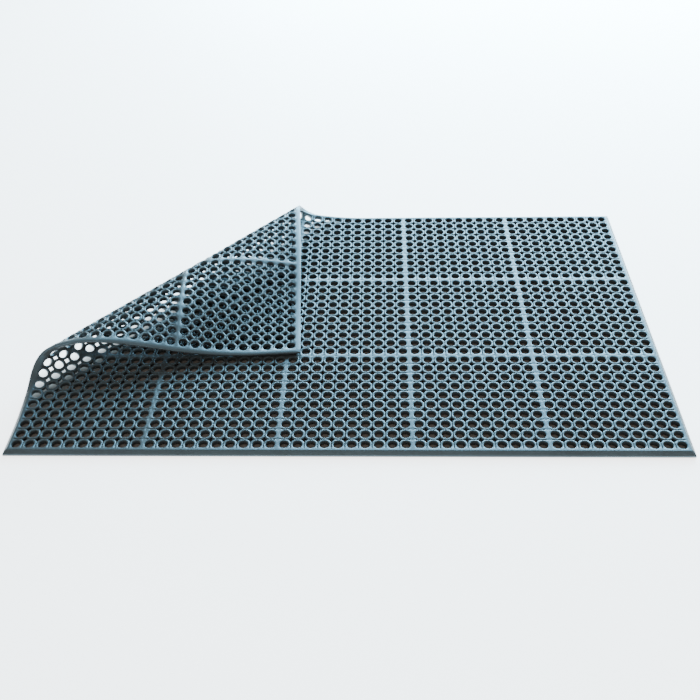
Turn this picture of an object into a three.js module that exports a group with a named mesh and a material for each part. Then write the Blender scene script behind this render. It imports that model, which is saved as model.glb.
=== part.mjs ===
// Rubber drainage mat with its back left corner rolled over and laid down on the mat.
// Millimetres, +Z up, front edge towards -Y, underside on Z = 0.
//
// The mat is one moulded piece of rubber. It is split along the middles of its flat ribs
// into panels, so that each mesh stays light. Neighbouring panels meet face to face.
// Every bar between two holes is wide on top and narrows to an edge on the floor.
import * as THREE from "three";

// The mat laid out flat
const PANELS_ACROSS = 5;
const PANELS_DEEP = 3;
const HOLES = 10;
const PITCH = 30;
const HOLE = 20.5;
const THICK = 12.7;

// The rim outside the last ribs: a narrow flat, then a bevel down to a thin upright lip
const RIM = 10;
const RIM_FLAT = 1;
const LIP = 5.7;

// The roll: its axis lies at this angle to the front edge, and the rubber leaves the floor
// on a line at this distance from the middle of the mat
const ROLL_ANGLE = 46.5;
const ROLL_START = 280;
// The roll is high and round at its left end, and lower and tighter at its back end. These
// are the places of both ends along its axis, from the middle of the mat.
const LEFT_END = -655;
const BACK_END = 231;
// Section at the left end: lengths of rubber and the degrees that each turns through in
// the lift, the tight curl and the crest, then the radius of the lay-down
const LEFT_LIFT = 78;
const LEFT_LIFT_TURN = 17.2;
const LEFT_CURL = 95.4;
const LEFT_CURL_TURN = 139.7;
const LEFT_CREST = 132.6;
const LEFT_CREST_TURN = 54.4;
const LEFT_LAY_RADIUS = 170;
// The same at the back end
const BACK_LIFT = 110;
const BACK_LIFT_TURN = 13.5;
const BACK_CURL = 91;
const BACK_CURL_TURN = 172.3;
const BACK_CREST = 147;
const BACK_CREST_TURN = 8.3;
const BACK_LAY_RADIUS = 520;
// Air left under the corner where it lies on the mat
const TIP_AIR = 0.6;

const RUBBER = { color: 0x2a3338, roughness: 0.55, metalness: 0.05 };

const PANEL = PITCH * HOLES;
const HALF_BAR = (PITCH - HOLE) / 2;
const MIDDLE_X = (PANEL * PANELS_ACROSS) / 2;
const MIDDLE_Y = (PANEL * PANELS_DEEP) / 2;
const HALF_TURN = Math.PI;

// The roll's section as a chain of arcs and one straight slope, at a share of the way from
// the left end to the back end. The slope's length is worked out so that the corner comes
// down onto the top of the mat.
function rollSection(share) {
  const mix = (left, back) => THREE.MathUtils.lerp(left, back, share);
  const angle = (left, back) => THREE.MathUtils.degToRad(mix(left, back));
  const rise = [
    { length: mix(LEFT_LIFT, BACK_LIFT), turn: angle(LEFT_LIFT_TURN, BACK_LIFT_TURN) },
    { length: mix(LEFT_CURL, BACK_CURL), turn: angle(LEFT_CURL_TURN, BACK_CURL_TURN) },
    { length: mix(LEFT_CREST, BACK_CREST), turn: angle(LEFT_CREST_TURN, BACK_CREST_TURN) },
  ];
  let heading = 0;
  let height = 0;
  for (const arc of rise) {
    const radius = arc.length / arc.turn;
    height += radius * (Math.cos(heading) - Math.cos(heading + arc.turn));
    heading += arc.turn;
  }
  const dive = heading - HALF_TURN;
  const layRadius = mix(LEFT_LAY_RADIUS, BACK_LAY_RADIUS);
  const slopeDrop = height - THICK - TIP_AIR - layRadius * (1 - Math.cos(dive));
  const slope = { length: slopeDrop / Math.sin(dive), turn: 0 };
  const layDown = { length: layRadius * dive, turn: -dive };
  return [...rise, slope, layDown];
}

const ROLL_RADIANS = THREE.MathUtils.degToRad(ROLL_ANGLE);
const ALONG = new THREE.Vector2(Math.cos(ROLL_RADIANS), Math.sin(ROLL_RADIANS));
const ACROSS = new THREE.Vector2(-ALONG.y, ALONG.x);

// Where the middle layer of the rubber is after a run of the given length past the roll line
function followRoll(section, run) {
  let x = 0;
  let z = 0;
  let heading = 0;
  let left = run;
  for (const { length, turn } of section) {
    const step = Math.min(left, length);
    const end = heading + (turn * step) / length;
    if (turn === 0) {
      x += step * Math.cos(heading);
      z += step * Math.sin(heading);
    } else {
      const radius = length / turn;
      x += radius * (Math.sin(end) - Math.sin(heading));
      z += radius * (Math.cos(heading) - Math.cos(end));
    }
    heading = end;
    left -= step;
  }
  x += left * Math.cos(heading);
  z += left * Math.sin(heading);
  return { x, z, heading };
}

// A point of the flat mat, measured from its middle, in its place on the rolled mat
function place(x, y, z) {
  const run = x * ACROSS.x + y * ACROSS.y - ROLL_START;
  if (run <= 0) {
    return [x, y, z];
  }
  const along = x * ALONG.x + y * ALONG.y;
  const share = (along - LEFT_END) / (BACK_END - LEFT_END);
  const roll = followRoll(rollSection(share), run);
  const level = z - THICK / 2;
  const across = ROLL_START + roll.x - Math.sin(roll.heading) * level;
  return [
    along * ALONG.x + across * ACROSS.x,
    along * ALONG.y + across * ACROSS.y,
    THICK / 2 + roll.z + Math.cos(roll.heading) * level,
  ];
}

// One panel as a closed mesh. Faces are listed anticlockwise as seen from outside.
function makePanel(column, row) {
  const positions = [];
  const faces = [];
  const seen = new Map();
  const startX = column * PANEL - MIDDLE_X;
  const startY = row * PANEL - MIDDLE_Y;
  const rimWest = column === 0;
  const rimEast = column === PANELS_ACROSS - 1;
  const rimSouth = row === 0;
  const rimNorth = row === PANELS_DEEP - 1;

  function vertex(x, y, z) {
    const key = `${x.toFixed(3)} ${y.toFixed(3)} ${z.toFixed(3)}`;
    if (!seen.has(key)) {
      seen.set(key, seen.size);
      positions.push(...place(startX + x, startY + y, z));
    }
    return seen.get(key);
  }

  function face(...corners) {
    for (let i = 1; i + 1 < corners.length; i += 1) {
      faces.push(corners[0], corners[i], corners[i + 1]);
    }
  }

  // Corner of a hole on top: column i, row j, on its low or high side
  function holeTop(i, j, highX, highY) {
    const x = i * PITCH + (highX ? PITCH - HALF_BAR : HALF_BAR);
    const y = j * PITCH + (highY ? PITCH - HALF_BAR : HALF_BAR);
    return vertex(x, y, THICK);
  }

  // Edge that the bars narrow to on the underside. On a rib it stays at the rib's side.
  function holeFoot(i, j) {
    const x = THREE.MathUtils.clamp(i * PITCH, HALF_BAR, PANEL - HALF_BAR);
    const y = THREE.MathUtils.clamp(j * PITCH, HALF_BAR, PANEL - HALF_BAR);
    return vertex(x, y, 0);
  }

  // Point on the outside of the panel, moved out by the rim where the panel has one
  function outside(i, j, rim, z) {
    let x = i * PITCH;
    let y = j * PITCH;
    x -= i === 0 && rimWest ? rim : 0;
    x += i === HOLES && rimEast ? rim : 0;
    y -= j === 0 && rimSouth ? rim : 0;
    y += j === HOLES && rimNorth ? rim : 0;
    return vertex(x, y, z);
  }

  // The four sloping sides of each hole, and the bars and crossings between holes
  for (let i = 0; i < HOLES; i += 1) {
    for (let j = 0; j < HOLES; j += 1) {
      const top = [
        holeTop(i, j, false, false),
        holeTop(i, j, true, false),
        holeTop(i, j, true, true),
        holeTop(i, j, false, true),
      ];
      const foot = [
        holeFoot(i, j),
        holeFoot(i + 1, j),
        holeFoot(i + 1, j + 1),
        holeFoot(i, j + 1),
      ];
      for (let side = 0; side < top.length; side += 1) {
        const next = (side + 1) % top.length;
        face(top[side], top[next], foot[next], foot[side]);
      }
      const hasEast = i + 1 < HOLES;
      const hasNorth = j + 1 < HOLES;
      if (hasEast) {
        const eastLow = holeTop(i + 1, j, false, false);
        const eastHigh = holeTop(i + 1, j, false, true);
        face(top[1], eastLow, eastHigh, top[2]);
      }
      if (hasNorth) {
        const northLow = holeTop(i, j + 1, false, false);
        const northHigh = holeTop(i, j + 1, true, false);
        face(top[3], top[2], northHigh, northLow);
      }
      if (hasEast && hasNorth) {
        const east = holeTop(i + 1, j, false, true);
        const both = holeTop(i + 1, j + 1, false, false);
        const north = holeTop(i, j + 1, true, false);
        face(top[2], east, both, north);
      }
    }
  }

  // The ribs and rim all round, walked anticlockwise as seen from above. The two sides
  // walked backwards split their faces the same way as the neighbours they lie against.
  const last = HOLES - 1;
  const sides = [
    {
      rim: rimSouth,
      backwards: false,
      at: (k) => [k, 0],
      hole: (k) => [k, 0],
      low: [false, false],
      high: [true, false],
    },
    {
      rim: rimEast,
      backwards: false,
      at: (k) => [HOLES, k],
      hole: (k) => [last, k],
      low: [true, false],
      high: [true, true],
    },
    {
      rim: rimNorth,
      backwards: true,
      at: (k) => [HOLES - k, HOLES],
      hole: (k) => [last - k, last],
      low: [true, true],
      high: [false, true],
    },
    {
      rim: rimWest,
      backwards: true,
      at: (k) => [0, HOLES - k],
      hole: (k) => [0, last - k],
      low: [false, true],
      high: [false, false],
    },
  ];
  sides.forEach((side, number) => {
    const before = sides[(number + sides.length - 1) % sides.length];
    const after = sides[(number + 1) % sides.length];
    for (let k = 0; k < HOLES; k += 1) {
      const first = side.at(k);
      const second = side.at(k + 1);
      const topFirst = outside(...first, RIM_FLAT, THICK);
      const topSecond = outside(...second, RIM_FLAT, THICK);
      const footFirst = outside(...first, RIM, 0);
      const footSecond = outside(...second, RIM, 0);
      const holeFirst = holeTop(...side.hole(k), ...side.low);
      const holeSecond = holeTop(...side.hole(k), ...side.high);
      face(topFirst, topSecond, holeSecond, holeFirst);
      if (k + 1 < HOLES) {
        face(topSecond, holeTop(...side.hole(k + 1), ...side.low), holeSecond);
      }
      face(footSecond, footFirst, holeFoot(...first), holeFoot(...second));
      const lipFirst = outside(...first, RIM, LIP);
      const lipSecond = outside(...second, RIM, LIP);
      if (side.rim) {
        face(lipFirst, lipSecond, topSecond, topFirst);
        face(footFirst, footSecond, lipSecond, lipFirst);
      } else {
        const outline = [footFirst, footSecond];
        if (after.rim && k + 1 === HOLES) {
          outline.push(lipSecond);
        }
        outline.push(topSecond, topFirst);
        if (before.rim && k === 0) {
          outline.push(lipFirst);
        }
        if (side.backwards) {
          outline.push(outline.shift());
        }
        face(...outline);
      }
    }
  });

  const geometry = new THREE.BufferGeometry();
  geometry.setAttribute("position", new THREE.Float32BufferAttribute(positions, 3));
  geometry.setIndex(faces);
  geometry.computeVertexNormals();
  const mesh = new THREE.Mesh(geometry, new THREE.MeshStandardMaterial(RUBBER));
  mesh.name = `panel_c${column + 1}_r${row + 1}`;
  return mesh;
}

const mat = new THREE.Group();
for (let row = 0; row < PANELS_DEEP; row += 1) {
  for (let column = 0; column < PANELS_ACROSS; column += 1) {
    mat.add(makePanel(column, row));
  }
}

// The roll leans a little outside the flat outline, so the origin is put back in the
// middle of the whole footprint
const footprint = new THREE.Box3().setFromObject(mat);
const middle = footprint.getCenter(new THREE.Vector3());
for (const panel of mat.children) {
  panel.geometry.translate(-middle.x, -middle.y, 0);
}

export default mat;
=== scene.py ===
"""Looks for the rubber drainage mat, in metres. Each CAD panel is replaced by a detailed one
of the same size: round ringed holes, star gaps between rings, flat ribs and a bevelled rim."""

import math

import bpy
import numpy as np
from mathutils import Matrix, Vector


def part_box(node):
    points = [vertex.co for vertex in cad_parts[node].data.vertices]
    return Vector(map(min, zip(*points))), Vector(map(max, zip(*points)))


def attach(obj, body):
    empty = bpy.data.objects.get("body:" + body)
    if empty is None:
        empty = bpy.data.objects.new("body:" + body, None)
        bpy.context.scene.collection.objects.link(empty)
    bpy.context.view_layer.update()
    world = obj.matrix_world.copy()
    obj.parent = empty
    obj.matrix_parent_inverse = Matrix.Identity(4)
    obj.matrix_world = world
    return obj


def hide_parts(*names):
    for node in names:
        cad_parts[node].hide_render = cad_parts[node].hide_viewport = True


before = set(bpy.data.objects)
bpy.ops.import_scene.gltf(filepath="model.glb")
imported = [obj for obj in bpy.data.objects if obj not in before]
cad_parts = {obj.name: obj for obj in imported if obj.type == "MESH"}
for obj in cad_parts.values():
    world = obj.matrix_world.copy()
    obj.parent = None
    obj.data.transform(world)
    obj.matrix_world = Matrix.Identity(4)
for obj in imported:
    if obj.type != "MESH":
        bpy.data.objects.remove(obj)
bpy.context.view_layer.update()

# The flat mat, in metres, as in the part's source
PANELS_ACROSS, PANELS_DEEP, HOLES = 5, 3, 10
PITCH, THICK = 0.030, 0.0127
RIM, RIM_FLAT, LIP = 0.010, 0.001, 0.0057
HALF = PITCH / 2
# Half the width of a flat rib
RIB = 0.00475
PANEL = PITCH * HOLES

# The roll, as in the part's source
ROLL_ANGLE = math.radians(46.5)
ROLL_START, LEFT_END, BACK_END, TIP_AIR = 0.280, -0.655, 0.231, 0.0006
LEFT = ((0.078, 17.2), (0.0954, 139.7), (0.1326, 54.4), 0.170)
BACK = ((0.110, 13.5), (0.091, 172.3), (0.147, 8.3), 0.520)

# Rings round the holes. On top: radius at the hole, on its rounded rim and at its crest.
# On the underside: radius at the hole and at the thin crest, and where the star gap starts.
HOLE_TOP, RIM_EDGE, CREST = 0.01025, 0.0112, 0.0126
HOLE_FOOT, FOOT_CREST = 0.0105, 0.0120
RING_OUTER, RING_OUTER_FOOT = 0.0170, 0.0157
# Towards a rib or the rim the rounded rim is this much narrower and shallower
NARROWER, SHALLOWER = 0.0016, 0.0008
# Depths below the ribs' flat tops: the hole's rim, the groove between rings, the star's edge
RIM_DROP, VALLEY, EDGE_DROP, DIMPLE = 0.0017, 0.0030, 0.0024, 0.0016
FOOT_RIM, FOOT_VALLEY, FOOT_EDGE = 0.0010, 0.0026, 0.0014
# Points round a hole
STEPS = 32
# Between a ring's crest and its cell's edge lies a shoulder: how far out, and its share of the drop
SHOULDER, SHOULDER_DROP = 0.62, 0.12
# Shares of the narrowing and of the drop that the rounded rim's own edge takes
EDGE_NARROWER, EDGE_SHARE = 0.4, 0.38
# Straight run past the roll, longer than the mat
RUN_OUT = 9.0
# Points closer than a tenth of a micron are one
WELD_SCALE = 1e7
SHARP_ANGLE = math.radians(72)

# The floor, and a dark sheet of painted shade that shows through the holes where the mat lies near the floor:
# it stands in for the mat's shadow there.
# The painted shade fades into the floor under the roll.
SPAN = 60.0
FLOOR_Z, PAINTED_SHADE_Z = -0.0006, -0.0002
FLOOR_COLOUR, PAINTED_SHADE_COLOUR = (0.9, 0.9, 0.9), (0.21, 0.185, 0.165)
FLOOR_GLOW = 3.2
FADE_START, FADE_END = 0.060, 0.150
INSET = 0.004
WORLD_COLOUR, WORLD_STRENGTH = (1.0, 0.97, 0.94, 1), 0.6


def roll_sections(share):
    """Lengths and turns of the roll's section for each share of the way from its left end to
    its back end, with the slope's length worked out as in the part's source."""
    chain = []
    heading = height = 0.0
    for (left_length, left_turn), (back_length, back_turn) in zip(LEFT[:3], BACK[:3]):
        length = left_length + (back_length - left_length) * share
        turn = np.radians(left_turn + (back_turn - left_turn) * share)
        height = height + length / turn * (np.cos(heading) - np.cos(heading + turn))
        heading = heading + turn
        chain.append((length, turn))
    dive = heading - math.pi
    lay = LEFT[3] + (BACK[3] - LEFT[3]) * share
    drop = height - THICK - TIP_AIR - lay * (1 - np.cos(dive))
    flat = np.zeros_like(share)
    return chain + [(drop / np.sin(dive), flat), (lay * dive, -dive), (flat + RUN_OUT, flat)]


def bend(p, middle):
    """Puts points of the flat mat, measured from its middle, in their place on the rolled mat."""
    along_dir = np.array([math.cos(ROLL_ANGLE), math.sin(ROLL_ANGLE)])
    across_dir = np.array([-along_dir[1], along_dir[0]])
    along = p[:, :2] @ along_dir
    run = p[:, :2] @ across_dir - ROLL_START
    x = np.minimum(run, 0.0)
    z = np.zeros_like(run)
    heading = np.zeros_like(run)
    left = np.maximum(run, 0.0)
    for length, turn in roll_sections((along - LEFT_END) / (BACK_END - LEFT_END)):
        step = np.minimum(left, length)
        end = heading + turn * step / length
        straight = turn == 0
        radius = length / np.where(straight, 1.0, turn)
        x = x + np.where(straight, step * np.cos(heading),
                         radius * (np.sin(end) - np.sin(heading)))
        z = z + np.where(straight, step * np.sin(heading),
                         radius * (np.cos(heading) - np.cos(end)))
        heading = end
        left = left - step
    level = p[:, 2] - THICK / 2
    across = ROLL_START + x - np.sin(heading) * level
    out = np.empty_like(p)
    out[:, :2] = np.outer(along, along_dir) + np.outer(across, across_dir) + middle
    out[:, 2] = THICK / 2 + z + np.cos(heading) * level
    return out


def ring_outline(main, other, i, radius):
    """Point i of an eighth of a ring's outside: along the side where it meets the next ring,
    then round the star gap to the corner's diagonal."""
    contact = math.acos(HALF / radius)
    if i < 2:
        return main * HALF + other * HALF * math.tan(contact) * i / 2
    angle = contact + (math.pi / 4 - contact) * (i - 2) / 2
    return (main * math.cos(angle) + other * math.sin(angle)) * radius


def cell(ribs, crossing):
    """One hole with its ring, about its own middle, as rings of STEPS points: from the hole's
    edge on top over the crest to the cell's edge, then the three rings of its foot.
    ribs says which sides (east, north, west, south) lie on a rib or the rim."""
    axes = np.array([[1, 0], [0, 1], [-1, 0], [0, -1]], float)
    top_edge, foot_edge, edge_drop, ring_drop, foot_rise = [], [], [], [], []
    star = []
    for k in range(4):
        nxt = (k + 1) % 4
        filled = ribs[k] or ribs[nxt]
        for j in range(8):
            main, other = (axes[k], axes[nxt]) if j <= 4 else (axes[nxt], axes[k])
            side = k if j <= 4 else nxt
            i = j if j <= 4 else 8 - j
            if filled:
                top = foot = main * HALF + other * HALF * i / 4
                in_rib = ribs[side] or HALF * (1 - i / 4) < RIB
                drop = 0.0 if in_rib else VALLEY
                rise = 0.0 if in_rib else FOOT_VALLEY
                if i == 4:
                    drop = 0.0 if crossing[k] else DIMPLE
            else:
                top = ring_outline(main, other, i, RING_OUTER)
                foot = ring_outline(main, other, i, RING_OUTER_FOOT)
                drop = VALLEY if i < 2 else EDGE_DROP
                rise = FOOT_VALLEY if i < 2 else FOOT_EDGE
            top_edge.append(top)
            foot_edge.append(foot)
            edge_drop.append(drop)
            foot_rise.append(rise)
            ring_drop.append(0.0 if drop == DIMPLE else SHOULDER_DROP * drop)
            star.append(not filled and 2 <= j <= 5)
    top_edge, foot_edge = np.array(top_edge), np.array(foot_edge)
    turn = np.arange(STEPS) * 2 * math.pi / STEPS
    unit = np.c_[np.cos(turn), np.sin(turn)]
    beside = np.max([np.maximum(unit @ axes[k], 0.0) ** 2 * ribs[k] for k in range(4)], axis=0)
    near = unit * (CREST - NARROWER * beside)[:, None]
    rim_edge = unit * (RIM_EDGE - NARROWER * EDGE_NARROWER * beside)[:, None]
    rim_drop = RIM_DROP - SHALLOWER * beside
    ring = [
        np.c_[unit * HOLE_TOP, THICK - rim_drop],
        np.c_[rim_edge, THICK - rim_drop * EDGE_SHARE],
        np.c_[near, np.full(STEPS, THICK)],
        np.c_[near + (top_edge - near) * SHOULDER, THICK - np.array(ring_drop)],
        np.c_[top_edge, THICK - np.array(edge_drop)],
        np.c_[unit * HOLE_FOOT, np.full(STEPS, FOOT_RIM)],
        np.c_[unit * FOOT_CREST, np.zeros(STEPS)],
        np.c_[foot_edge, np.array(foot_rise)],
    ]
    return ring, star


def panel_mesh(column, row, middle):
    """Vertices and faces of one panel, welded, in place on the rolled mat."""
    chunks, quads, count = [], [], 0
    origin = np.array([column * PANEL - PANEL * PANELS_ACROSS / 2,
                       row * PANEL - PANEL * PANELS_DEEP / 2])
    step = np.arange(STEPS)
    nxt = (step + 1) % STEPS
    made = {}
    for i in range(HOLES):
        for j in range(HOLES):
            ribs = (i == HOLES - 1, j == HOLES - 1, i == 0, j == 0)
            lines = [(column * HOLES + i + dx, row * HOLES + j + dy)
                     for dx, dy in ((1, 1), (0, 1), (0, 0), (1, 0))]
            crossing = tuple((a % HOLES == 0 and b % HOLES == 0)
                             or a in (0, PANELS_ACROSS * HOLES)
                             or b in (0, PANELS_DEEP * HOLES) for a, b in lines)
            key = (ribs, crossing)
            if key not in made:
                made[key] = cell(ribs, crossing)
            rings, star = made[key]
            at = origin + (np.array([i, j]) + 0.5) * PITCH
            chunks.append(np.concatenate(rings) + [at[0], at[1], 0.0])
            for level in range(4):
                a = count + level * STEPS
                b = a + STEPS
                quads.append(np.c_[a + step, b + step, b + nxt, a + nxt])
            top_in, top_out, foot_in, foot_out = (count + level * STEPS for level in (0, 4, 5, 7))
            for a, b in ((top_in, foot_in), (foot_in, foot_in + STEPS), (foot_in + STEPS, foot_out)):
                quads.append(np.c_[a + nxt, b + nxt, b + step, a + step])
            s = step[np.array(star)]
            t = (s + 1) % STEPS
            quads.append(np.c_[top_out + s, foot_out + s, foot_out + t, top_out + t])
            count += 8 * STEPS

    # The bevelled rim, swept along the sides of the panel that lie on the mat's outline.
    # Each point of its section is a distance outward and a height.
    section = [(0.0, THICK), (RIM_FLAT * 0.7, THICK), (RIM_FLAT * 1.6, THICK - 0.0005),
               (RIM * 0.93, LIP + 0.0006), (RIM, LIP - 0.0004), (RIM, 0.0005), (RIM - 0.0005, 0.0), (0.0, 0.0)]
    size = len(section)
    marks = np.arange(8 * HOLES + 1) * PITCH / 8
    west, east = column == 0, column == PANELS_ACROSS - 1
    south, north = row == 0, row == PANELS_DEEP - 1
    for present, edge in ((south, 0), (east, 1), (north, 2), (west, 3)):
        if not present:
            continue
        grow_start = (west, south, east, north)[edge]
        grow_end = (east, north, west, south)[edge]
        for out, z in section:
            run = marks.copy()
            run[0] -= out if grow_start else 0.0
            run[-1] += out if grow_end else 0.0
            far = np.full_like(run, -out)
            flip = PANEL - run
            x, y = ((run, far), (PANEL - far, run), (flip, PANEL - far), (far, flip))[edge]
            chunks.append(np.c_[origin[0] + x, origin[1] + y, np.full_like(run, z)])
        n = len(marks)
        for level in range(size - 1):
            a = count + level * n + np.arange(n - 1)
            b = a + n
            quads.append(np.c_[b, b + 1, a + 1, a])
        count += size * n

    points = np.concatenate(chunks)
    faces = np.concatenate(quads)
    keys = np.round(points * WELD_SCALE).astype(np.int64)
    _, first, index = np.unique(keys, axis=0, return_index=True, return_inverse=True)
    return bend(points[first], middle), index.reshape(-1)[faces]


def rubber_material():
    """Moulded black rubber with a faint blue grey bloom that varies at random."""
    mat = bpy.data.materials.new("rubber")
    mat.use_nodes = True
    nodes, links = mat.node_tree.nodes, mat.node_tree.links
    shader = nodes["Principled BSDF"]
    place = nodes.new("ShaderNodeTexCoord")
    cloud = nodes.new("ShaderNodeTexNoise")
    cloud.inputs["Scale"].default_value = 9.0
    cloud.inputs["Detail"].default_value = 6.0
    tint = nodes.new("ShaderNodeValToRGB")
    tint.color_ramp.elements[0].position = 0.3
    tint.color_ramp.elements[0].color = (0.046, 0.048, 0.047, 1)
    tint.color_ramp.elements[1].position = 0.75
    tint.color_ramp.elements[1].color = (0.058, 0.066, 0.069, 1)
    speck = nodes.new("ShaderNodeTexNoise")
    speck.inputs["Scale"].default_value = 420.0
    speck.inputs["Detail"].default_value = 3.0
    gloss = nodes.new("ShaderNodeMapRange")
    gloss.inputs["From Min"].default_value = 0.3
    gloss.inputs["From Max"].default_value = 0.7
    gloss.inputs["To Min"].default_value = 0.30
    gloss.inputs["To Max"].default_value = 0.44
    grain = nodes.new("ShaderNodeBump")
    grain.inputs["Strength"].default_value = 0.12
    grain.inputs["Distance"].default_value = 0.0004
    links.new(place.outputs["Object"], cloud.inputs["Vector"])
    links.new(place.outputs["Object"], speck.inputs["Vector"])
    links.new(cloud.outputs["Fac"], tint.inputs["Fac"])
    links.new(tint.outputs["Color"], shader.inputs["Base Color"])
    links.new(speck.outputs["Fac"], gloss.inputs["Value"])
    links.new(gloss.outputs["Result"], shader.inputs["Roughness"])
    links.new(speck.outputs["Fac"], grain.inputs["Height"])
    links.new(grain.outputs["Normal"], shader.inputs["Normal"])
    shader.inputs["Specular IOR Level"].default_value = 0.6
    shader.inputs["Specular Tint"].default_value = (0.38, 0.76, 1.0, 1)
    return mat


def plain_material(name, colour, roughness, glow=0.0):
    mat = bpy.data.materials.new(name)
    mat.use_nodes = True
    shader = mat.node_tree.nodes["Principled BSDF"]
    shader.inputs["Base Color"].default_value = (*colour, 1)
    shader.inputs["Roughness"].default_value = roughness
    shader.inputs["Emission Color"].default_value = (*colour, 1)
    shader.inputs["Emission Strength"].default_value = glow
    return mat


def painted_shade_material(across):
    """Painted shade: a dark sheet standing in for the mat's shadow, turning into the floor's own look past the
    roll line.
    """
    mat = plain_material("painted_shade_sheet", PAINTED_SHADE_COLOUR, 0.7)
    nodes, links = mat.node_tree.nodes, mat.node_tree.links
    shader = nodes["Principled BSDF"]
    place = nodes.new("ShaderNodeTexCoord")
    dot = nodes.new("ShaderNodeVectorMath")
    dot.operation = "DOT_PRODUCT"
    dot.inputs[1].default_value = (across[0], across[1], 0.0)
    offset = middle[0] * across[0] + middle[1] * across[1] + ROLL_START
    tint = nodes.new("ShaderNodeMix")
    tint.data_type = "RGBA"
    tint.inputs["A"].default_value = (*PAINTED_SHADE_COLOUR, 1)
    tint.inputs["B"].default_value = (*FLOOR_COLOUR, 1)
    links.new(place.outputs["Object"], dot.inputs[0])
    for target, top in ((tint.inputs["Factor"], 1.0), (shader.inputs["Emission Strength"], FLOOR_GLOW)):
        fade = nodes.new("ShaderNodeMapRange")
        fade.interpolation_type = "SMOOTHSTEP"
        fade.inputs["From Min"].default_value = offset + FADE_START
        fade.inputs["From Max"].default_value = offset + FADE_END
        fade.inputs["To Max"].default_value = top
        links.new(dot.outputs["Value"], fade.inputs["Value"])
        links.new(fade.outputs["Result"], target)
    links.new(tint.outputs["Result"], shader.inputs["Base Color"])
    links.new(tint.outputs["Result"], shader.inputs["Emission Color"])
    return mat


def new_mesh(name, points, faces, material):
    mesh = bpy.data.meshes.new(name)
    mesh.from_pydata(points.tolist(), [], faces.tolist())
    mesh.materials.append(material)
    obj = bpy.data.objects.new(name, mesh)
    bpy.context.scene.collection.objects.link(obj)
    return obj


def area_light(name, where, to, size, power, colour):
    light = bpy.data.lights.new(name, "AREA")
    light.shape = "RECTANGLE"
    light.size, light.size_y = size
    light.energy = power
    light.color = colour
    obj = bpy.data.objects.new(name, light)
    obj.location = where
    obj.rotation_mode = "QUATERNION"
    obj.rotation_quaternion = (Vector(to) - Vector(where)).to_track_quat("-Z", "Y")
    bpy.context.scene.collection.objects.link(obj)
    return obj


# The CAD's origin is the middle of the whole footprint; this is where the flat mat's middle is
low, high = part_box(f"panel_c{PANELS_ACROSS}_r1")
FLAT_HALF_X = PANEL * PANELS_ACROSS / 2 + RIM
FLAT_HALF_Y = PANEL * PANELS_DEEP / 2 + RIM
middle = np.array([high[0] - FLAT_HALF_X, low[1] + FLAT_HALF_Y])

rubber = rubber_material()
for column in range(PANELS_ACROSS):
    for row in range(PANELS_DEEP):
        node = f"panel_c{column + 1}_r{row + 1}"
        points, faces = panel_mesh(column, row, middle)
        piece = new_mesh(f"mat_c{column + 1}_r{row + 1}", points, faces, rubber)
        piece.data.shade_smooth()
        piece.data.set_sharp_from_angle(angle=SHARP_ANGLE)
        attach(piece, "root")
        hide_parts(node)

corners = [[-SPAN, -SPAN, FLOOR_Z], [SPAN, -SPAN, FLOOR_Z], [SPAN, SPAN, FLOOR_Z], [-SPAN, SPAN, FLOOR_Z]]
floor = new_mesh("floor", np.array(corners), np.array([[0, 1, 2, 3]]),
                 plain_material("pale_floor", FLOOR_COLOUR, 0.6, FLOOR_GLOW))
across = (-math.sin(ROLL_ANGLE), math.cos(ROLL_ANGLE))
x1, y1 = FLAT_HALF_X - INSET, FLAT_HALF_Y - INSET
left_y = (ROLL_START + FADE_END + across[0] * x1) / across[1]
back_x = (ROLL_START + FADE_END - across[1] * y1) / across[0]
shade_points = [[-x1, -y1], [x1, -y1], [x1, y1], [back_x, y1], [-x1, left_y]]
# Painted shade: a dark sheet under the mat, standing in for its shadow on the floor seen through the holes
shade_sheet = new_mesh("painted_shade_sheet", np.array([[x + middle[0], y + middle[1], PAINTED_SHADE_Z] for x, y in shade_points]),
                  np.array([[0, 1, 2, 3, 4]]), painted_shade_material(across))

# The camera stands where the photograph's did
AZIMUTH, PITCH_DOWN, ROLL = math.radians(-2.62), math.radians(42.998), math.radians(-1.888)
EYE = Vector((0.0720, -1.5947, 1.3792))
FOCAL_PX, FRAME_PX, SENSOR_MM = 808.78, 700.0, 36.0
camera_data = bpy.data.cameras.new("camera")
camera = bpy.data.objects.new("camera", camera_data)
bpy.context.scene.collection.objects.link(camera)
bpy.context.scene.camera = camera
forward = Vector((math.sin(AZIMUTH) * math.cos(PITCH_DOWN),
                  math.cos(AZIMUTH) * math.cos(PITCH_DOWN),
                  -math.sin(PITCH_DOWN)))
right = Vector((math.cos(AZIMUTH), -math.sin(AZIMUTH), 0.0))
up = right.cross(forward)
rolled_right = right * math.cos(ROLL) + up * math.sin(ROLL)
rolled_up = up * math.cos(ROLL) - right * math.sin(ROLL)
rotation = Matrix((rolled_right, rolled_up, -forward)).transposed()
camera.matrix_world = Matrix.Translation(EYE) @ rotation.to_4x4()
camera_data.sensor_width = SENSOR_MM
camera_data.lens = FOCAL_PX / FRAME_PX * SENSOR_MM
camera_data.clip_start = 0.01

# Soft studio light: a low broad one behind that grazes the mat, a dimmer one above it, and a
# faint one in front
area_light("behind", (1.1, 2.9, 1.0), (0.1, 0.1, 0), (4.4, 1.5), 820.0, (0.48, 0.81, 1.0))
area_light("high", (0.5, 2.4, 2.8), (0, 0.1, 0), (4.0, 1.4), 230.0, (0.48, 0.81, 1.0))
area_light("front", (0.0, -2.6, 2.2), (0, 0, 0), (3.0, 1.6), 12.0, (1, 0.85, 0.70))
world = bpy.data.worlds.new("studio")
bpy.context.scene.world = world
world.use_nodes = True
world.node_tree.nodes["Background"].inputs["Color"].default_value = WORLD_COLOUR
world.node_tree.nodes["Background"].inputs["Strength"].default_value = WORLD_STRENGTH
